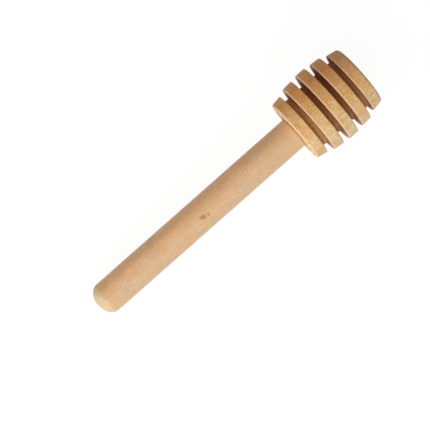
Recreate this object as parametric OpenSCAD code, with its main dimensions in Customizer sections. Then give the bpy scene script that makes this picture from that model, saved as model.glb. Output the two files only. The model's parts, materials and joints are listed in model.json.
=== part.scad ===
// Small wooden honey dipper: a grooved, turned head glued onto the tenon of a dowel handle.
// It lies on a table just as it comes to rest: +X runs along it towards the head, +Z is up,
// and the origin is on the table, under the middle of its length.
// Along the dipper's own axis, u is 0 at the head's shoulder, positive in the head
// and negative in the handle. Radii are measured from that axis.

/* [Handle] */
// Diameter of the dowel
handle_d = 7.8; // [6.5:0.1:9]
// Length of the handle that shows, from the head's shoulder to its free end
handle_l = 60.2; // [40:0.1:90]
// Depth of the oval dome turned on the free end
dome_l = 2.8; // [1:0.1:4]

/* [Head] */
// Diameter at the crown of the barrel
head_d = 19.1; // [17:0.1:24]
// Distance of the crown from the middle of the head, towards the handle
crown_shift = 0.3; // [0:0.1:1.5]
// Radius of the arc that the rims follow, along the head
barrel_arc_r = 26; // [22:0.5:60]
// Share of the barrel's slope that each rim has, as its knife is nearly straight
rim_slope = 0.5; // [0:0.1:1]
// Number of discs
disc_count = 5; // [4:1:6]
// Thickness of the discs
disc_t = 2.7; // [2:0.1:3.2]
// Thickness of the last disc, which ends in the flat tip
tip_disc_t = 3; // [2:0.1:4]
// Width of the grooves that hold the honey
groove_w = 1.5; // [1:0.1:2]
// Diameter at the bottom of the grooves
core_d = 13.4; // [12:0.1:14]
// Rounding of the rims' edges
rim_round = 0.2; // [0.1:0.05:0.5]
// Rounding of the edge round the flat tip
tip_round = 0.6; // [0.2:0.1:1]

/* [Glued joint] */
// Diameter of the tenon turned on the dowel, which sits in the head
tenon_d = 5.8; // [4:0.1:6.2]
// Chamfer on the tenon's end
tenon_chamfer = 0.5; // [0.2:0.1:1]
// Wood left between the head's blind socket and its tip
tip_wall = 6; // [4:0.5:8]
// Full angle of the drill's point at the socket's end
drill_point = 118; // [90:1:140]
// Thickness of the glue round the tenon
glue_t = 0.1; // [0.05:0.01:0.2]
// Space for glue between the tenon's end and the socket's end
glue_end_gap = 0.4; // [0.2:0.1:1]
// Depth of the glue's surface below the shoulder
glue_set_back = 0.2; // [0.1:0.1:0.5]

/* [Hidden] */
$fn = 96;
handle_r = handle_d / 2;
core_r = core_d / 2;
pitch = disc_t + groove_w;
head_l = (disc_count - 1) * pitch + tip_disc_t;
crown_u = head_l / 2 - crown_shift;
tenon_r = tenon_d / 2;
socket_r = tenon_r + glue_t;
point_l = socket_r / tan(drill_point / 2);
socket_l = head_l - tip_wall - point_l;
tenon_u = socket_l - glue_end_gap;
dome_u = dome_l - handle_l;
// Steps in the outlines of the dome and of each rounding
dome_steps = 12;
round_steps = 3;
// How far a cut runs on past the surface that it opens
overrun = 1;

// Places of disc i's two faces
function near_u(i) = i * pitch;
function far_u(i) = near_u(i) + (i == disc_count - 1 ? tip_disc_t : disc_t);
// Radius of the barrel's arc at u
function barrel_r(u) = head_d / 2 - barrel_arc_r + sqrt(pow(barrel_arc_r, 2) - pow(u - crown_u, 2));
// Radius of disc i's rim at u
function rim_r(i, u) =
    let (mid_r = barrel_r((near_u(i) + far_u(i)) / 2))
    mid_r + rim_slope * (barrel_r(u) - mid_r);
// Centre [u, r] and radius of the rounding at disc i's edge nearer the handle, and nearer the tip
function near_arc(i) = [near_u(i) + rim_round, rim_r(i, near_u(i)) - rim_round, rim_round];
function far_arc(i) =
    let (e = i == disc_count - 1 ? tip_round : rim_round)
    [far_u(i) - e, rim_r(i, far_u(i)) - e, e];
// Points [r, u] along a rounding, over 90 degrees from angle a
function arc_points(c, a) =
    [for (k = [0:round_steps]) let (b = a + 90 * k / round_steps) [c[1] + c[2] * cos(b), c[0] + c[2] * sin(b)]];

// How far the head and the free end reach below the axis when the head is tilted up by a
edge_arcs = [for (i = [0:disc_count - 1]) each [near_arc(i), far_arc(i)]];
function head_drop(a) = max([for (c = edge_arcs) c[1] * cos(a) - c[0] * sin(a) + c[2]]);
function end_drop(a) = norm([dome_l * sin(a), handle_r * cos(a)]) - dome_u * sin(a);
// The tilt at which the widest rim and the free end both touch the table, by halving the range
function tilt_between(low, high, rounds = 40) =
    let (mid = (low + high) / 2)
    rounds == 0 ? mid :
    head_drop(mid) > end_drop(mid) ? tilt_between(mid, high, rounds - 1) : tilt_between(low, mid, rounds - 1);
rest_tilt = tilt_between(0, 45);
lift = end_drop(rest_tilt);
tip_reach = max([for (c = edge_arcs) c[0] * cos(rest_tilt) + c[1] * sin(rest_tilt) + c[2]]);
end_reach = norm([dome_l * cos(rest_tilt), handle_r * sin(rest_tilt)]) - dome_u * cos(rest_tilt);

// Lays a piece drawn along +Z, with u = z, down on the table
module on_table() {
    translate([(end_reach - tip_reach) / 2, 0, lift]) rotate([0, 90 - rest_tilt, 0]) children();
}

// Outline of the dowel from its axis: oval dome, straight side, shoulder and chamfered tenon
module dowel_outline() {
    dome = [for (k = [0:dome_steps]) let (b = 90 * k / dome_steps)
        [handle_r * sin(b), dome_u - dome_l * cos(b)]];
    shoulder = [[handle_r, 0], [tenon_r, 0]];
    tenon_end = [[tenon_r, tenon_u - tenon_chamfer], [tenon_r - tenon_chamfer, tenon_u], [0, tenon_u]];
    polygon(concat(dome, shoulder, tenon_end));
}

module dowel() {
    rotate_extrude() dowel_outline();
}

// One disc of the head, with a rounded edge at each end of its rim
module disc(i) {
    near = arc_points(near_arc(i), -90);
    far = arc_points(far_arc(i), 0);
    rotate_extrude() polygon(concat([[0, near_u(i)]], near, far, [[0, far_u(i)]]));
}

// The drilled socket's space, up to u = 0 plus an extra length at its mouth
module socket_space(extra = 0) {
    translate([0, 0, -extra]) cylinder(h = socket_l + extra, r = socket_r);
    translate([0, 0, socket_l]) cylinder(h = point_l, r1 = socket_r, r2 = 0);
}

module handle() {
    color("burlywood") on_table() dowel();
}

module head() {
    color("tan") on_table() difference() {
        union() {
            cylinder(h = head_l - tip_disc_t / 2, r = core_r);
            for (i = [0:disc_count - 1]) disc(i);
        }
        socket_space(overrun);
    }
}

module glue_film() {
    color("ivory") on_table() difference() {
        socket_space();
        dowel();
        translate([0, 0, -overrun]) cylinder(h = glue_set_back + overrun, r = socket_r + overrun);
    }
}

handle();
head();
glue_film();
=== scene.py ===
# %% [markdown]
# # A turned wooden honey dipper
# The dipper is two pieces of pale hardwood: a plain dowel for a handle, and a barrel-shaped head with
# four grooves that hold the honey. A film of dried glue round the dowel's tenon, inside the head, keeps
# them together. The frame is the model that carries, fits and is measured. This script loads it, gives
# its wooden pieces a finer surface, and lights the dipper as it lies on a white table.

# %% Load the frame
import json
import math

import bmesh
import bpy
from mathutils import Matrix, Vector, noise


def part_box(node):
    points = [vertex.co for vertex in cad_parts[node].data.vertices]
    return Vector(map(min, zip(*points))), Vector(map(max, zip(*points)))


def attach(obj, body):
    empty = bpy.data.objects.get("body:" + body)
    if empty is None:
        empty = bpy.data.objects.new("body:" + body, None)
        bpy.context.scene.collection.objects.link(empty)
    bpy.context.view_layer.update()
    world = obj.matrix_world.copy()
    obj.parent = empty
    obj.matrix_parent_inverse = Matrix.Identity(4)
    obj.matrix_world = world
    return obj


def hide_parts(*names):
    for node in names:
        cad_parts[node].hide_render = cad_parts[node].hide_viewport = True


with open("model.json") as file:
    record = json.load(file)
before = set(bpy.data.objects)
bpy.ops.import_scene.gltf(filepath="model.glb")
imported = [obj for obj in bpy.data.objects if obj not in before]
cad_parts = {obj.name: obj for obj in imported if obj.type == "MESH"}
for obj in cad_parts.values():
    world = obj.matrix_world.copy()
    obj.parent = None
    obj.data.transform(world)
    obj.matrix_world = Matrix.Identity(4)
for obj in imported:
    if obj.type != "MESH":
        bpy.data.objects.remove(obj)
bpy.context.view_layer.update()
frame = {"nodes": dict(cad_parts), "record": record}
MM = 0.001
print("nodes in the frame:", sorted(frame["nodes"]))

# %% [markdown]
# ## The dipper's own axis
# A turned object is easiest to think of along its own axis, but this one lies on a table, so its axis
# rises a few degrees towards the head. The rise could be typed in here, but the frame already knows it:
# one mount is the handle's straight side, with its radius, length and middle, and the other is the flat
# tip. From the two come the axis, the head's shoulder, and a matrix that lays any piece made along +X
# down on the table. Along the axis, u is 0 at the shoulder, positive in the head and negative in the
# handle.

# %% Find the axis and the shoulder
mounts = {mount["name"]: mount for mount in frame["record"]["mounts"]}
axis = Vector(mounts["tip_face"]["axis"]).normalized()
straight_side = mounts["handle"]["dims"]["length_mm"] * MM
HANDLE_R = mounts["handle"]["dims"]["r_mm"] * MM
shoulder = Vector(mounts["handle"]["pos_m"]) + axis * straight_side / 2
HEAD_L = (Vector(mounts["tip_face"]["pos_m"]) - shoulder).dot(axis)
rise = math.atan2(axis.z, axis.x)
lay_down = Matrix.Translation(shoulder) @ Matrix.Rotation(-rise, 4, "Y")
print(f"the axis rises {math.degrees(rise):.2f} degrees; the head is {HEAD_L / MM:.2f} mm long")

# %% [markdown]
# ## The camera
# The camera comes first, because everything after it is judged through it. It could be placed by three
# coordinates and three turns, but a distance and two angles about the dipper are easier to picture, and
# the lamp can be placed the same way. It looks down almost square onto the dipper, from a little nearer
# the handle's end, so that the faces of the discs towards the handle just show. Its turn puts the dipper
# on the picture's rising diagonal. A long lens at arm's length keeps the dowel's sides parallel.

# %% Place the camera
CAMERA_TURN = math.radians(-41.2)
CAMERA_HEIGHT_ANGLE = math.radians(82.5)
CAMERA_DISTANCE = 420 * MM
CAMERA_TARGET = Vector((-6.48, -2.25, 7.0)) * MM
LENS = 153.4


def add_aimed(name, data, target, distance, turn, height_angle):
    """Adds a camera or lamp that faces the target, at this turn round it and angle above the table."""
    away = Vector((
        math.sin(turn) * math.cos(height_angle), -math.cos(turn) * math.cos(height_angle),
        math.sin(height_angle),
    ))
    made = bpy.data.objects.new(name, data)
    bpy.context.scene.collection.objects.link(made)
    made.location = target + distance * away
    made.rotation_euler = (math.pi / 2 - height_angle, 0, turn)
    return made


camera_data = bpy.data.cameras.new("camera")
camera_data.lens = LENS
camera_data.clip_start = 10 * MM
camera = add_aimed(
    "camera", camera_data, CAMERA_TARGET, CAMERA_DISTANCE, CAMERA_TURN, CAMERA_HEIGHT_ANGLE)
bpy.context.scene.camera = camera
print("camera at", [round(c, 3) for c in camera.location])

# %% [markdown]
# ## A lathe
# Both pieces were turned, so both are made the way a lathe makes them: an outline of half the section
# goes round the axis. A cylinder could be extruded and scaled step by step, but an outline keeps the
# section readable. A turner also breaks each sharp edge with sandpaper. The bevel operator rounds a
# corner of the outline before the spin, where it is one point and not hundreds of edges. Long straight
# stretches are cut into short steps, because a later step moves single points a little. The spin leaves
# many points on the axis and a seam where it closes, so they are merged, and the faces are then turned to
# point outwards.

# %% Functions that draw, round and spin an outline
AROUND = 224
SAME_POINT = 0.001 * MM


def start_outline(corners):
    """Joins (u, radius) corners in order, as a chain of edges above the axis."""
    bm = bmesh.new()
    points = [bm.verts.new((u, 0, radius)) for u, radius in corners]
    for pair in zip(points, points[1:]):
        bm.edges.new(pair)
    return bm


def round_corner(bm, corner, size, segments):
    """Turns the outline's corner at this (u, radius) into an arc of this size."""
    place = Vector((corner[0], 0, corner[1]))
    point = min(bm.verts, key=lambda other: (other.co - place).length)
    bmesh.ops.bevel(
        bm, geom=[point], offset=size, offset_type="OFFSET", segments=segments, profile=0.5,
        affect="VERTICES", material=-1, clamp_overlap=True,
    )


def spin(bm, step):
    """Cuts the outline's long stretches into short steps, and spins it into a closed surface."""
    for edge in bm.edges[:]:
        cuts = int(edge.calc_length() / step)
        if cuts:
            bmesh.ops.subdivide_edges(bm, edges=[edge], cuts=cuts)
    bmesh.ops.spin(
        bm, geom=bm.verts[:] + bm.edges[:], cent=(0, 0, 0), axis=(1, 0, 0), dvec=(0, 0, 0),
        angle=math.tau, steps=AROUND, use_merge=True,
    )
    bmesh.ops.remove_doubles(bm, verts=bm.verts, dist=SAME_POINT)
    bmesh.ops.recalc_face_normals(bm, faces=bm.faces)


# %% [markdown]
# ## A surface that a hand has finished
# Wood moves after it is turned, and sanding is never even, so no ring is perfectly round. A Displace
# modifier with a texture could roughen the surface, but it would move points out as well as in. Here each
# point moves inwards only, by a smooth noise, so that nothing grows past the frame's own size, and sharp
# edges crumble a little more. How sharply the surface bends at a point is kept with the mesh, because the
# wood's colour depends on it too: edges are painted pale, partly as rubbed wood and partly as painted
# highlight, and inner corners are painted dark, as painted shade.

# %% Functions that wear a surface and finish a piece
GENTLE_BEND = 0.08  # two faces that meet at up to this many radians make no edge
BEND_TO_SHARP = 4.5
ALONG_WOOD = 0.5  # hollows are twice as long along the wood as across it
SLOW_WEAR = (0.7, 0.3)  # the mean share of the depth that is worn, and its swing
CRUMB_LEVEL = 0.1


def wear(bm, depth, grain, edge_depth=0.0, edge_grain=1.0):
    """Moves points inwards by noise, and stores how sharp each is: 1 on an edge, -1 in a hollow."""
    sharpness = bm.verts.layers.float.new("sharpness")
    bm.normal_update()
    moves = []
    for point in bm.verts:
        bend = max((edge.calc_face_angle_signed(0) for edge in point.link_edges), key=abs)
        sharp = min(1, max(0, abs(bend) - GENTLE_BEND) * BEND_TO_SHARP)
        point[sharpness] = math.copysign(sharp, bend)
        place = Vector((point.co.x * ALONG_WOOD, point.co.y, point.co.z)) / MM
        slow = SLOW_WEAR[0] + SLOW_WEAR[1] * noise.noise(place * grain)
        crumbs = max(0.0, noise.noise(place * edge_grain) - CRUMB_LEVEL)
        moves.append(point.normal * -(depth * slow + edge_depth * crumbs * max(0, point[sharpness])))
    for point, move in zip(bm.verts, moves):
        point.co += move


def finish_piece(bm, name, node_name):
    """Lays a piece on the table as a smooth-shaded object that stands for one node of the frame."""
    bmesh.ops.transform(bm, matrix=lay_down, verts=bm.verts)
    mesh = bpy.data.meshes.new(name)
    bm.to_mesh(mesh)
    bm.free()
    mesh.shade_smooth()
    piece = bpy.data.objects.new(name, mesh)
    bpy.context.scene.collection.objects.link(piece)
    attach(piece, "root")
    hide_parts(node_name)
    print(f"{name}: {len(mesh.polygons)} faces")
    return piece


# %% [markdown]
# ## The handle
# The handle is a dowel with an oval dome sanded on its free end. Its other end is cut down to a tenon
# that is glued into the head's socket, and the step between the two butts against the head. A cylinder
# and half a sphere could be joined, but one outline carries dome, side, step and tenon with no seam. The
# tenon never shows, but a piece that can be taken apart should be whole. The tenon's length comes from
# the frame's box. Because the axis rises, the lower edge of the tenon's end is the handle's farthest
# point along the table.

# %% Turn the handle
DOME_L = 2.8 * MM
DOME_STEPS = 24
TENON_R = 2.9 * MM
TENON_CHAMFER = 0.5 * MM
HANDLE_STEP = 0.5 * MM
TURNED_WEAR = 0.025 * MM

dome = []
for k in range(DOME_STEPS + 1):
    turn = math.pi / 2 * k / DOME_STEPS
    dome.append((-straight_side - DOME_L * math.cos(turn), HANDLE_R * math.sin(turn)))
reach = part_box("handle")[1].x - shoulder.x
tenon_l = (reach - (TENON_R - TENON_CHAMFER) * math.sin(rise)) / math.cos(rise)
tenon = [
    (0, HANDLE_R), (0, TENON_R), (tenon_l - TENON_CHAMFER, TENON_R),
    (tenon_l, TENON_R - TENON_CHAMFER), (tenon_l, 0),
]
handle_mesh = start_outline(dome + tenon)
spin(handle_mesh, HANDLE_STEP)
wear(handle_mesh, TURNED_WEAR, grain=0.25)
handle = finish_piece(handle_mesh, "handle_wood", "handle")
print(f"the tenon is {tenon_l / MM:.2f} mm long")

# %% [markdown]
# ## The head
# Five rings could be threaded on a rod, but the real head is one barrel: its grain runs across the
# grooves from disc to disc. So it has one outline, which goes from the bottom of the drilled socket out
# over the shoulder, up and down over each disc, and in over the flat tip. The rims follow a wide arc
# along the head, but each has only part of that arc's slope, because the knife that cut it was nearly
# straight.

# %% The head's sizes
DISC_COUNT = 5
DISC_T = 2.7 * MM
GROOVE_W = 1.5 * MM
CROWN_R = 9.55 * MM
CROWN_SHIFT = 0.3 * MM
BARREL_ARC_R = 26 * MM
RIM_SLOPE = 0.5
CORE_R = 6.7 * MM
SOCKET_R = 3.0 * MM
TIP_WALL = 6.0 * MM
DRILL_POINT = 118

crown_u = HEAD_L / 2 - CROWN_SHIFT
drill_point_l = SOCKET_R / math.tan(math.radians(DRILL_POINT / 2))


def barrel_radius(u):
    """Radius of the barrel's arc at u."""
    return CROWN_R - BARREL_ARC_R + math.sqrt(BARREL_ARC_R ** 2 - (u - crown_u) ** 2)


def rim_radius(u, middle):
    """Radius of the rim at u, on a disc whose middle is at the given place."""
    return barrel_radius(middle) + RIM_SLOPE * (barrel_radius(u) - barrel_radius(middle))


discs = []
for i in range(DISC_COUNT):
    near = i * (DISC_T + GROOVE_W)
    far = HEAD_L if i == DISC_COUNT - 1 else near + DISC_T
    middle = (near + far) / 2
    discs.append(((near, rim_radius(near, middle)), (far, rim_radius(far, middle))))
print("rim radii, mm:", [[round(r / MM, 2) for u, r in disc] for disc in discs])

# %% Turn the head
RIM_ROUND = 0.2 * MM
TIP_ROUND = 0.6 * MM
INNER_ROUND = 0.12 * MM
HEAD_STEP = 0.34 * MM
EDGE_WEAR = 0.05 * MM

outline = [
    (HEAD_L - TIP_WALL, 0), (HEAD_L - TIP_WALL - drill_point_l, SOCKET_R), (0, SOCKET_R),
]
inner_corners = []
for i, (near_edge, far_edge) in enumerate(discs):
    if i:
        inner_corners += [(discs[i - 1][1][0], CORE_R), (near_edge[0], CORE_R)]
        outline += inner_corners[-2:]
    outline += [near_edge, far_edge]
head_mesh = start_outline(outline + [(HEAD_L, 0)])

rim_edges = [edge for disc in discs for edge in disc]
for edge in rim_edges[:-1]:
    round_corner(head_mesh, edge, RIM_ROUND, segments=5)
round_corner(head_mesh, rim_edges[-1], TIP_ROUND, segments=6)
for corner in inner_corners:
    round_corner(head_mesh, corner, INNER_ROUND, segments=2)
spin(head_mesh, HEAD_STEP)
wear(head_mesh, TURNED_WEAR, grain=0.3, edge_depth=EDGE_WEAR, edge_grain=1.3)
head = finish_piece(head_mesh, "head_wood", "head")

# %% [markdown]
# ## Building materials from nodes
# A material here is a short list of nodes. Written out in full, each node takes four or five lines, so
# one helper adds a node, gives it its settings, and feeds each input either a plain value or another
# node's output. Colours are written as they look on a screen, and a second helper turns them into the
# linear light that a renderer adds up.

# %% Helpers for nodes and colours


def node(tree, kind, inputs=None, **settings):
    """Adds a node and returns it. Each input is fed by name or number, from a value or another output."""
    made = tree.nodes.new(kind)
    for name, value in settings.items():
        setattr(made, name, value)
    for name, value in (inputs or {}).items():
        if isinstance(value, bpy.types.NodeSocket):
            tree.links.new(value, made.inputs[name])
        else:
            made.inputs[name].default_value = value
    return made


def maths(tree, operation, *values):
    return node(tree, "ShaderNodeMath", dict(enumerate(values)), operation=operation).outputs[0]


def vector_maths(tree, operation, *values, out=0):
    return node(tree, "ShaderNodeVectorMath", dict(enumerate(values)), operation=operation).outputs[out]


def times(tree, first, *others):
    """Multiplies masks and values together."""
    for other in others:
        first = maths(tree, "MULTIPLY", first, other)
    return first


def ramp_between(tree, value, low, high, start=0.0, end=1.0):
    """Runs smoothly from start to end as the value goes from low to high."""
    inputs = {"Value": value, "From Min": low, "From Max": high, "To Min": start, "To Max": end}
    return node(tree, "ShaderNodeMapRange", inputs, interpolation_type="SMOOTHSTEP").outputs[0]


def blend_colours(tree, share, a, b, way="MIX"):
    """Goes from colour a to colour b as the share goes from 0 to 1, or from a to a times b."""
    inputs = {"Factor": share, 6: a, 7: b}
    return node(tree, "ShaderNodeMix", inputs, data_type="RGBA", blend_type=way).outputs[2]


def on_screen(red, green, blue):
    """The linear colour that shows as these three numbers, each 0 to 255, on a screen."""
    parts = [c / 255 for c in (red, green, blue)]
    return (*[c / 12.92 if c <= 0.04045 else ((c + 0.055) / 1.055) ** 2.4 for c in parts], 1.0)


def new_group(name, inputs, outputs):
    """Starts a node group, and returns its tree and the sockets on the inside of its two ends."""
    tree = bpy.data.node_groups.new(name, "ShaderNodeTree")
    for label, kind, start in inputs:
        socket = tree.interface.new_socket(name=label, in_out="INPUT", socket_type="NodeSocket" + kind)
        socket.default_value = start
    for label, kind in outputs:
        tree.interface.new_socket(name=label, in_out="OUTPUT", socket_type="NodeSocket" + kind)
    return tree, tree.nodes.new("NodeGroupInput").outputs, tree.nodes.new("NodeGroupOutput").inputs


# %% [markdown]
# ## Where a point lies in the wood
# Grain runs along the dipper, not along the table, so every pattern needs the place of a point in the
# dipper's own lengths: u along the axis and the two ways across, in millimetres. A Mapping node of the
# texture kind undoes the lay-down matrix. The same group gives the distance from the axis, how far the
# point lies to one side, how squarely a face cuts the fibres, which is 1 on the discs' faces and the tip
# and 0 on the dowel's side, whether it faces the tip or the hand, and the sharpness that was stored with
# the mesh. Each material could work these out for itself, but a group is built once and placed in all of
# them.

# %% Group: place in the wood
CUTS_FIBRES = (0.25, 0.95)  # the part of a face's normal that lies along the axis
HARDLY_SHARP = 0.05

place_tree, _, place_out = new_group(
    "Place in the wood", [],
    [
        ("Place", "Vector"), ("Along", "Float"), ("Side", "Float"), ("Radius", "Float"),
        ("End Grain", "Float"), ("Facing Tip", "Float"), ("Edge", "Float"), ("Inner Corner", "Float"),
    ],
)
coordinates = node(place_tree, "ShaderNodeTexCoord").outputs
own_place = node(
    place_tree, "ShaderNodeMapping",
    {
        "Vector": coordinates["Object"],
        "Location": shoulder, "Rotation": (0, -rise, 0), "Scale": (MM, MM, MM),
    },
    vector_type="TEXTURE",
).outputs[0]
own_parts = node(place_tree, "ShaderNodeSeparateXYZ", {0: own_place}).outputs
across = vector_maths(place_tree, "MULTIPLY", own_place, (0, 1, 1))
along_normal = vector_maths(place_tree, "DOT_PRODUCT", coordinates["Normal"], axis, out="Value")
sharpness = node(place_tree, "ShaderNodeAttribute", attribute_name="sharpness").outputs["Fac"]
for label, value in {
    "Place": own_place, "Along": own_parts["X"], "Side": own_parts["Y"],
    "Radius": vector_maths(place_tree, "LENGTH", across, out="Value"),
    "End Grain": ramp_between(place_tree, maths(place_tree, "ABSOLUTE", along_normal), *CUTS_FIBRES),
    "Facing Tip": along_normal,
    "Edge": ramp_between(place_tree, sharpness, HARDLY_SHARP, 1.0),
    "Inner Corner": ramp_between(place_tree, sharpness, -1.0, -HARDLY_SHARP, 1.0, 0.0),
}.items():
    place_tree.links.new(value, place_out[label])
print("group made:", place_tree.name)

# %% [markdown]
# ## Grain
# The wood is a pale, close-grained hardwood. A photograph of a board could be wrapped round the dipper,
# but turned wood shows the inside of the board, so the grain is solid: colour depends only on the place
# in the wood. One group makes it for both pieces. Growth rings are rounds about a pith line well outside
# the dipper, each darkest at its outer side, where it ends sharply.

# %% Group: hardwood grain and its growth rings
grain_tree, grain_in, grain_out = new_group(
    "Hardwood grain",
    [
        ("Place", "Vector", (0, 0, 0)), ("Pith", "Vector", (0, 60, 10)), ("Ring Start", "Float", 0.0),
        ("Ring Width", "Float", 10.0), ("Half Width", "Float", 8.0), ("Lit Sap Side", "Color", (0.6, 0.4, 0.2, 1)),
        ("Shaded Heart Side", "Color", (0.6, 0.35, 0.15, 1)), ("Ring", "Color", (0.6, 0.38, 0.15, 1)),
        ("Ring Strength", "Float", 0.3), ("Blotch", "Color", (0.6, 0.36, 0.2, 1)),
        ("Blotch Strength", "Float", 0.3), ("Fleck", "Color", (0.3, 0.15, 0.06, 1)),
        ("Fleck Strength", "Float", 0.3), ("Mottle", "Float", 1.0),
    ],
    [("Colour", "Color"), ("Shade", "Color"), ("Height", "Float")],
)
place = grain_in["Place"]
OFF_THE_GRID = (0.29, 0.29, 0.29)  # a noise is faint on whole numbers, and the shoulder lies on one
RING_BEND = (0.03, 1, 1)  # the rings run almost straight along the wood
RING_WANDER = 1.2
RING_DARKENS = (0.3, 0.85)
RING_ENDS = (0.965, 1.0)


def cloud(scale, along, detail):
    """A noise of this many features to the millimetre across the grain, drawn out along it."""
    stretched = vector_maths(grain_tree, "MULTIPLY_ADD", place, (along, 1, 1), OFF_THE_GRID)
    inputs = {"Vector": stretched, "Scale": scale, "Detail": detail, "Roughness": 0.55}
    return node(grain_tree, "ShaderNodeTexNoise", inputs).outputs["Fac"]


from_pith = vector_maths(grain_tree, "SUBTRACT", place, grain_in["Pith"])
from_pith = vector_maths(grain_tree, "MULTIPLY", from_pith, RING_BEND)
ring_distance = vector_maths(grain_tree, "LENGTH", from_pith, out="Value")
ring_distance = maths(grain_tree, "SUBTRACT", ring_distance, grain_in["Ring Start"])
wander = times(grain_tree, cloud(0.1, 0.4, 2), RING_WANDER)
ring_distance = maths(grain_tree, "ADD", ring_distance, wander)
ring_count = maths(grain_tree, "DIVIDE", ring_distance, grain_in["Ring Width"])
ring_phase = maths(grain_tree, "FRACT", ring_count)
late_wood = times(
    grain_tree, ramp_between(grain_tree, ring_phase, *RING_DARKENS),
    ramp_between(grain_tree, ring_phase, *RING_ENDS, 1.0, 0.0),
)

# %% [markdown]
# ## Heart, blotches and flecks
# The heart side of a board is warmer than its sap side. Here the sap side lies towards the lamp and the
# heart side away from it, so the blend between them is also painted light: paler and greyer towards the
# lamp, a painted sheen, and warmer away from it, a painted shade. Blotches of a few millimetres shift the
# wood between pink and yellow, and small brown flecks are the ends of its rays. One busy noise could
# colour all of this at once, but masks that are laid over each other can each keep the size and the
# colour of the real mark.

# %% The grain's large colours
SIDE_BLEND_WANDER = 1.6
SIDE_BLEND_RANGE = (-0.1, 1.7)
BLOTCH_RANGE = (0.38, 0.62)
FLECKS_TO_THE_MM = 2.4
FLECK_STRETCH = (0.28, 1, 1)
FLECK_RIM = (0.10, 0.26)

# the blend across the sides is partly the wood's heart and sap, and partly painted light: paler towards
# the lamp as painted sheen, warmer away from it as painted shade
side = node(grain_tree, "ShaderNodeSeparateXYZ", {0: place}).outputs["Y"]
heart_and_shade_share = maths(grain_tree, "DIVIDE", side, grain_in["Half Width"])
wander = times(grain_tree, cloud(0.22, 0.35, 2), SIDE_BLEND_WANDER)
heart_and_shade_share = ramp_between(grain_tree, maths(grain_tree, "ADD", heart_and_shade_share, wander), *SIDE_BLEND_RANGE)
blotches = ramp_between(grain_tree, cloud(0.42, 0.6, 1), *BLOTCH_RANGE)
fleck_place = vector_maths(grain_tree, "MULTIPLY", place, FLECK_STRETCH)
fleck_cells = node(
    grain_tree, "ShaderNodeTexVoronoi",
    {"Vector": fleck_place, "Scale": FLECKS_TO_THE_MM, "Randomness": 1.0}, feature="F1",
)
flecks = ramp_between(grain_tree, fleck_cells.outputs["Distance"], *FLECK_RIM, 1.0, 0.0)

colour = blend_colours(grain_tree, heart_and_shade_share, grain_in["Lit Sap Side"], grain_in["Shaded Heart Side"])
for mask, name in ((late_wood, "Ring"), (blotches, "Blotch"), (flecks, "Fleck")):
    share = times(grain_tree, mask, grain_in[name + " Strength"])
    colour = blend_colours(grain_tree, share, colour, grain_in[name])

# %% [markdown]
# ## Fibres, pores and fine mottle
# Close by, the wood breaks up into paler and darker specks, short fibres and open pores. They could be
# more colours to blend in, but they change the shade of whatever wood they lie in, so they add up to one
# number that multiplies the colour. The fibres and pores also give the height that the bump and the
# roughness read.

# %% The grain's fine shade and height
SHADE_SHARES = (0.85, 1.05, 1.6)  # a paler speck is also less yellow, so its blue changes most
NOISE_MIDDLE = (0.3, 0.7)
PORE_SHADE = -0.08
PORE_DEPTH = 0.8

fibres = cloud(4.5, 0.12, 3)
pores = cloud(6.0, 0.2, 1)
mottle = [  # each noise, and how far it swings the shade
    (cloud(0.6, 0.7, 0), 0.015), (cloud(1.8, 0.8, 2), 0.022),
    (cloud(5.5, 0.6, 1), 0.085), (fibres, 0.045),
]
fine_parts = [ramp_between(grain_tree, marks, *NOISE_MIDDLE, -swing, swing) for marks, swing in mottle]
fine_parts.append(ramp_between(grain_tree, pores, 0.62, 0.75, 0.0, PORE_SHADE))
shade = fine_parts[0]
for part in fine_parts[1:]:
    shade = maths(grain_tree, "ADD", shade, part)
shade = times(grain_tree, shade, grain_in["Mottle"])
shade_parts = [maths(grain_tree, "ADD", times(grain_tree, shade, share), 1.0) for share in SHADE_SHARES]
shade_colour = node(grain_tree, "ShaderNodeCombineColor", dict(enumerate(shade_parts))).outputs[0]
pore_depth = ramp_between(grain_tree, pores, 0.6, 0.75, 0.0, PORE_DEPTH)
height = maths(grain_tree, "SUBTRACT", fibres, pore_depth)
for label, value in {
    "Colour": blend_colours(grain_tree, 1.0, colour, shade_colour, "MULTIPLY"),
    "Shade": shade_colour, "Height": height,
}.items():
    grain_tree.links.new(value, grain_out[label])
print("group made:", grain_tree.name)

# %% [markdown]
# ## Marks in the wood
# A pin knot is a tiny buried twig, cut through by the lathe: a brown dot with a bent tail. Pores that
# took up dirt are smaller still. They could be a painted picture, but a distance from a centre, bent by a
# little noise, needs no picture and stays in the wood.

# %% Group: mark in the wood
WOBBLE = (1.6, 1.6, 1.6)
MARK_RIM = (0.35, 1.15)

mark_tree, mark_in, mark_out = new_group(
    "Mark in the wood",
    [("Place", "Vector", (0, 0, 0)), ("Centre", "Vector", (0, 0, 0)), ("Size", "Vector", (1, 1, 1))],
    [("Mask", "Float")],
)
wobble = node(mark_tree, "ShaderNodeTexNoise", {"Vector": mark_in["Place"], "Scale": 2.2, "Detail": 2.0})
wobble = vector_maths(mark_tree, "SUBTRACT", wobble.outputs["Color"], (0.5, 0.5, 0.5))
from_mark = vector_maths(mark_tree, "SUBTRACT", mark_in["Place"], mark_in["Centre"])
from_mark = vector_maths(mark_tree, "DIVIDE", from_mark, mark_in["Size"])
from_mark = vector_maths(mark_tree, "ADD", from_mark, vector_maths(mark_tree, "MULTIPLY", wobble, WOBBLE))
mark_distance = vector_maths(mark_tree, "LENGTH", from_mark, out="Value")
mark_tree.links.new(ramp_between(mark_tree, mark_distance, *MARK_RIM, 1.0, 0.0), mark_out["Mask"])
print("group made:", mark_tree.name)

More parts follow.
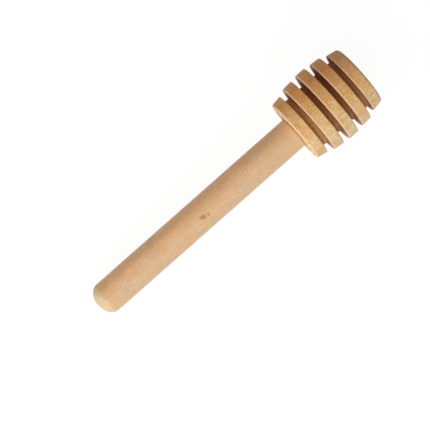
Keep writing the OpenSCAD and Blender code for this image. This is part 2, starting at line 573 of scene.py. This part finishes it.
# %% [markdown]
# ## How a wood material starts and ends
# Both woods end in the same way. Bare wood isn't glossy, but its fine nap catches light where the surface
# turns away. A paler colour near the outline would stay in one place as the dipper turns, so the shader's
# sheen does it. The fibres' height gives a little bump, and the hollows between them are rougher.

# %% Functions that start and finish a wood material
ROUGH_HOLLOW = 0.66
ROUGH_FIBRE = 0.5
ROUGH_TORN = 0.4
FIBRE_HEIGHT = 0.01 * MM


def start_material(name):
    """Adds an empty material, and returns it with its tree of nodes."""
    material = bpy.data.materials.new(name)
    material.use_nodes = True
    material.node_tree.nodes.clear()
    return material, material.node_tree


def place_group(tree, group, inputs):
    """Places a node group in a tree, and returns its outputs."""
    return node(tree, "ShaderNodeGroup", inputs, node_tree=group).outputs


def mark_wood(tree, place, colour, marks):
    """Lays each (centre, size, strength, colour) mark over the wood's colour."""
    for centre, size, strength, mark_colour in marks:
        mask = place_group(tree, mark_tree, {"Place": place, "Centre": centre, "Size": size})[0]
        colour = blend_colours(tree, times(tree, mask, strength), colour, mark_colour)
    return colour


def finish_wood(tree, colour, height, sheen, torn=0.0):
    """Ends a wood material with bump and roughness from the grain's height, rougher where it is torn."""
    smoothed = ramp_between(tree, height, 0.2, 0.7, ROUGH_HOLLOW, ROUGH_FIBRE)
    roughness = maths(tree, "MULTIPLY_ADD", torn, ROUGH_TORN, smoothed)
    raised = node(tree, "ShaderNodeBump", {"Height": height, "Distance": FIBRE_HEIGHT, "Strength": 1.0})
    surface = node(
        tree, "ShaderNodeBsdfPrincipled",
        {
            "Base Color": colour, "Roughness": roughness, "Specular IOR Level": 0.3,
            "Sheen Weight": sheen, "Sheen Roughness": 0.4,
            "Sheen Tint": on_screen(242, 236, 226), "Normal": raised.outputs[0],
        },
    )
    node(tree, "ShaderNodeOutputMaterial", {"Surface": surface.outputs[0]})


# %% [markdown]
# ## The handle's wood
# The dowel is pinkish and even, with one pin knot on top near its middle: a pale side, a brown heart of
# two dots and a thin bent tail. It yellows a little towards the head, where the hand doesn't reach. Its
# dome is end grain, which sands paler and yellower than the side. The dome could be a material of its
# own, but the change between them is soft, so a mask along the axis blends it.

# %% Material: handle wood
KNOT = [
    ((-27.85, -1.0, 3.76), (0.55, 0.45, 0.9), 0.7, on_screen(240, 178, 122)),
    ((-28.95, -1.0, 3.77), (0.8, 0.6, 0.9), 0.75, on_screen(176, 118, 66)),
    ((-28.4, -1.35, 3.66), (0.8, 0.55, 0.9), 0.8, on_screen(172, 112, 56)),
    ((-27.35, -1.4, 3.64), (0.28, 0.65, 0.9), 0.8, on_screen(182, 122, 70)),
]
SPECKS = [
    ((-48.35, -2.88, 2.63), (0.2, 0.16, 0.3), 0.5, on_screen(160, 130, 105)),
    ((-46.3, 0.16, 3.9), (0.2, 0.16, 0.3), 0.5, on_screen(160, 130, 105)),
    ((-57.4, -2.83, 2.68), (0.35, 0.35, 0.5), 0.6, on_screen(226, 150, 92)),
]
DOME_U = -straight_side / MM
DOME_SHARE = 0.85
NEAR_HEAD = (-16.0, -3.0)
NEAR_HEAD_SHARE = 0.45

handle_material, tree = start_material("handle_wood")
where = place_group(tree, place_tree, {})
# the sap colour, on the lamp's side, is paler and greyer as painted sheen; the heart colour, away from
# the lamp, is redder and lifts that side's shade as painted light
grain = place_group(tree, grain_tree, {
    "Place": where["Place"], "Pith": (0, 30, -34), "Half Width": 3.9,
    "Ring Start": 2.0, "Ring Width": 4.2,
    "Lit Sap Side": on_screen(199, 169, 133), "Shaded Heart Side": on_screen(229, 177, 129),
    "Ring": on_screen(204, 158, 112), "Ring Strength": 0.25,
    "Blotch": on_screen(215, 164, 121), "Blotch Strength": 0.45,
    "Fleck": on_screen(160, 105, 65), "Fleck Strength": 0.12, "Mottle": 1.2,
})
on_dome = ramp_between(tree, where["Along"], DOME_U - 1.3, DOME_U + 0.9, 1.0, 0.0)
near_head = ramp_between(tree, where["Along"], *NEAR_HEAD, 0.0, NEAR_HEAD_SHARE)
colour = blend_colours(tree, near_head, grain["Colour"], on_screen(198, 164, 121))
dome_colour = blend_colours(tree, 1.0, on_screen(197, 175, 135), grain["Shade"], "MULTIPLY")
colour = blend_colours(tree, times(tree, on_dome, DOME_SHARE), colour, dome_colour)
colour = mark_wood(tree, where["Place"], colour, KNOT + SPECKS)
finish_wood(tree, colour, grain["Height"], sheen=0.4)
handle.data.materials.append(handle_material)
print("material made:", handle_material.name)

# %% [markdown]
# ## The head's wood
# The head is cut from a yellower board, with one growth ring's edge along its sap side. That side lies
# towards the lamp, and it is tinted paler and greyer there as painted sheen, while the heart side, away
# from the lamp, is tinted warmer as painted shade; this tint is strongest on the three middle discs, and
# the head is a little paler at the tip. Each disc could have a colour of its own, but it is one board, so
# two soft masks along the axis tint it.

# %% Head wood: the board
HEAD_PITH = (0, 60, 4)
LIT_SAP_TINT = (1.0, 1.06, 1.07, 1.0)
SHADED_HEART_TINT = (1.0, 0.92, 0.86, 1.0)
TIP_TINT = (1.06, 1.07, 1.12, 1.0)

head_material, tree = start_material("head_wood")
where = place_group(tree, place_tree, {})
grain = place_group(tree, grain_tree, {
    "Place": where["Place"], "Pith": HEAD_PITH, "Half Width": 9.0,
    "Ring Start": 66.1, "Ring Width": 16.0,
    "Lit Sap Side": on_screen(204, 176, 134), "Shaded Heart Side": on_screen(207, 148, 83),
    "Ring": on_screen(204, 167, 106), "Ring Strength": 0.7,
    "Blotch": on_screen(209, 148, 86), "Blotch Strength": 0.55,
    "Fleck": on_screen(150, 95, 50), "Fleck Strength": 0.12, "Mottle": 2.4,
})
# painted sheen and shade: paler on the side towards the lamp, warmer on the side away from it
shaded_heart_side = ramp_between(tree, where["Side"], -6.0, 3.0)
past_first_disc = ramp_between(tree, where["Along"], 2.7, 6.0)
before_last_disc = ramp_between(tree, where["Along"], 14.0, 17.0, 1.0, 0.0)
at_tip = ramp_between(tree, where["Along"], 14.5, 17.0)
side_tint = blend_colours(tree, shaded_heart_side, LIT_SAP_TINT, SHADED_HEART_TINT)
in_middle = times(tree, past_first_disc, before_last_disc)
colour = blend_colours(tree, in_middle, grain["Colour"], side_tint, "MULTIPLY")
colour = blend_colours(tree, at_tip, colour, TIP_TINT, "MULTIPLY")

# %% [markdown]
# ## Faces cut across the grain
# The discs' faces and the tip show the ends of the fibres. The shoulder's face, where it meets the
# handle, is painted the palest, as painted light that lifts the shade of the join, and the grooves' walls
# are darker. Both show the wood's years as fine rounds about the pith. The grain group's rings could do
# this, but they are wide, as the rims need, so a Wave texture that is centred on the same pith draws the
# narrow ones.

# %% Head wood: cut faces
SHOULDER_LIGHT_SHARE = 0.85
WALL_SHARE = 0.35
YEARS_SHARE = 0.45

# painted light: the shoulder's face is painted pale against the shade where it meets the handle
off_shoulder = ramp_between(tree, where["Along"], 0.1, 0.5)
cut_colour = blend_colours(tree, off_shoulder, on_screen(230, 205, 158), on_screen(198, 150, 98))
cut_colour = blend_colours(tree, 1.0, cut_colour, grain["Shade"], "MULTIPLY")
cut_share = ramp_between(tree, off_shoulder, 0.0, 1.0, SHOULDER_LIGHT_SHARE, WALL_SHARE)
colour = blend_colours(tree, times(tree, where["End Grain"], cut_share), colour, cut_colour)
years = node(
    tree, "ShaderNodeTexWave",
    {
        "Vector": vector_maths(tree, "SUBTRACT", where["Place"], HEAD_PITH),
        "Scale": 0.2, "Distortion": 3.0, "Detail": 2.0, "Detail Scale": 0.6,
    },
    wave_type="RINGS", rings_direction="X", wave_profile="SAW",
).outputs["Fac"]
years = times(tree, where["End Grain"], YEARS_SHARE, years)
colour = blend_colours(tree, years, colour, on_screen(178, 122, 68))

# %% [markdown]
# ## Painted shade in the grooves, and rubbed edges
# The grooves are dark because little light gets in, and their colour is painted darker still, as painted
# shade. Less light could give more shadow, but that would darken everything, so a mask of depth below the
# rims paints the shade into the wood's colour. The groove next to the handle gets the least of it, and so
# does each groove's side towards the lamp. The rims' edges are rubbed pale, and the edges towards the
# handle, which face the lamp, are painted paler still, as painted highlight.

# %% Head wood: grooves and edges
BELOW_RIMS = (CORE_R / MM + 0.1, CORE_R / MM + 1.8)
GROOVE_SHADE_ENDS = (HEAD_L / MM - 2.6, HEAD_L / MM - 2.0)  # the tip's own face gets no painted shade
GROOVE_SHADE_SHARE = 0.75
CORNER_SHADE_SHARE = 0.4
LIT_EDGE_SHARE = 0.65
TIP_EDGE_SHARE = 0.25

depth = ramp_between(tree, where["Radius"], *BELOW_RIMS, 1.0, 0.0)
before_tip = ramp_between(tree, where["Along"], *GROOVE_SHADE_ENDS, 1.0, 0.0)
past_shoulder = ramp_between(tree, where["Along"], -1.0, 11.0)
away_from_lamp = ramp_between(tree, where["Side"], -7.0, -2.0, 0.6, 1.0)
# painted shade: the grooves' colour darkens with depth, less on the side towards the lamp and in the
# first groove
groove_shade = times(tree, depth, before_tip, past_shoulder, away_from_lamp)
towards_tip = ramp_between(tree, where["Along"], 12.0, 20.0)
groove_shade_colour = blend_colours(tree, towards_tip, on_screen(155, 80, 33), on_screen(180, 114, 37))
colour = blend_colours(tree, times(tree, groove_shade, GROOVE_SHADE_SHARE), colour, groove_shade_colour)
# painted shade in the inner corners at the bottom of the grooves
corner_shade = times(tree, where["Inner Corner"], CORNER_SHADE_SHARE)
colour = blend_colours(tree, corner_shade, colour, on_screen(110, 62, 32))
# edges are painted pale, partly as rubbed wood, and more on the edges that face the handle and the lamp,
# as painted highlight
rub_and_highlight_share = ramp_between(tree, where["Facing Tip"], -0.3, 0.3, LIT_EDGE_SHARE, TIP_EDGE_SHARE)
colour = blend_colours(tree, times(tree, where["Edge"], rub_and_highlight_share), colour, on_screen(234, 194, 170))
finish_wood(tree, colour, grain["Height"], sheen=0.1, torn=depth)
head.data.materials.append(head_material)
print("material made:", head_material.name)

# %% [markdown]
# ## The glue
# The glue film is a carried-over piece of the frame. It never shows unless the dipper is taken apart, and
# a plain colour would do for that. But dried wood glue is a cloudy amber that is a little glossy, and a
# single noise is enough for both its streaks and its unevenness.

# %% Material: glue
STREAK_HEIGHT = 0.03 * MM

glue_material, tree = start_material("glue")
where = place_group(tree, place_tree, {})
streaks = node(tree, "ShaderNodeTexNoise", {"Vector": where["Place"], "Scale": 0.8, "Detail": 3.0})
streaks = streaks.outputs["Fac"]
colour = blend_colours(tree, streaks, on_screen(224, 205, 160), on_screen(204, 172, 110))
raised = node(tree, "ShaderNodeBump", {"Height": streaks, "Distance": STREAK_HEIGHT})
surface = node(
    tree, "ShaderNodeBsdfPrincipled",
    {"Base Color": colour, "Roughness": 0.35, "Normal": raised.outputs[0]},
)
node(tree, "ShaderNodeOutputMaterial", {"Surface": surface.outputs[0]})
glue_film = frame["nodes"]["glue_film"]
for slot in glue_film.material_slots:
    slot.material = glue_material
print("material made:", glue_material.name)

# %% [markdown]
# ## The white table
# A product picture on white has almost no shadow. The floor could be a white sheet that glows, but then
# the dipper would cast no shadow at all. So it is a pale matte sheet that takes the shadow and throws
# light back up at the dipper. Where the camera sees it, straight or in a reflection, it is lifted towards
# pure white, through the light path, so that the background is white without more light on the wood.

# %% Floor
FLOOR_SIZE = 3.0
PAPER = (0.82, 0.82, 0.82, 1)
WHITE = (1, 1, 1, 1)
GLOW = 1.04
GLOW_SHARE = 0.9

floor_mesh = bpy.data.meshes.new("floor")
bm = bmesh.new()
bmesh.ops.create_grid(bm, x_segments=1, y_segments=1, size=FLOOR_SIZE)
bm.to_mesh(floor_mesh)
bm.free()
floor = bpy.data.objects.new("floor", floor_mesh)
bpy.context.scene.collection.objects.link(floor)

floor_material, tree = start_material("white_table")
path = node(tree, "ShaderNodeLightPath").outputs
mirrored = maths(tree, "MAXIMUM", path["Is Glossy Ray"], path["Is Transmission Ray"])
seen = maths(tree, "MAXIMUM", path["Is Camera Ray"], mirrored)
paper = node(tree, "ShaderNodeBsdfDiffuse", {"Color": PAPER}).outputs[0]
glow = node(tree, "ShaderNodeEmission", {"Color": WHITE, "Strength": GLOW}).outputs[0]
sheet = node(tree, "ShaderNodeMixShader", {0: times(tree, seen, GLOW_SHARE), 1: paper, 2: glow})
node(tree, "ShaderNodeOutputMaterial", {"Surface": sheet.outputs[0]})
floor_mesh.materials.append(floor_material)
print("material made:", floor_material.name)

# %% [markdown]
# ## The light
# One large soft lamp stands on the near side of the table, towards the handle's end, and the room fills
# in the rest. Small lamps would draw hard streaks in the grooves, and the room alone would leave the
# dowel flat. Together they light a level surface at about the strength where a colour renders as it is
# written.

# %% World and lamp
ROOM_LIGHT = 0.31
LAMP_TURN = math.radians(-58.0)
LAMP_HEIGHT_ANGLE = math.radians(38)
LAMP_DISTANCE = 0.7
LAMP_WIDTH = 1.4
LAMP_HEIGHT = 0.45
LAMP_POWER = 8.0

world = bpy.data.worlds.new("room")
bpy.context.scene.world = world
world.use_nodes = True
world.node_tree.nodes.clear()
path = node(world.node_tree, "ShaderNodeLightPath").outputs
seen = maths(world.node_tree, "MAXIMUM", path["Is Camera Ray"], path["Is Transmission Ray"])
strength = ramp_between(world.node_tree, seen, 0.0, 1.0, ROOM_LIGHT, 1.0)
sky = node(world.node_tree, "ShaderNodeBackground", {"Color": WHITE, "Strength": strength})
node(world.node_tree, "ShaderNodeOutputWorld", {"Surface": sky.outputs[0]})

lamp_data = bpy.data.lights.new("lamp", "AREA")
lamp_data.shape = "RECTANGLE"
lamp_data.size = LAMP_WIDTH
lamp_data.size_y = LAMP_HEIGHT
lamp_data.energy = LAMP_POWER
lamp = add_aimed("lamp", lamp_data, Vector((0, 0, 0)), LAMP_DISTANCE, LAMP_TURN, LAMP_HEIGHT_ANGLE)
bpy.context.scene.view_settings.view_transform = "Standard"
print("lamp at", [round(c, 3) for c in lamp.location])
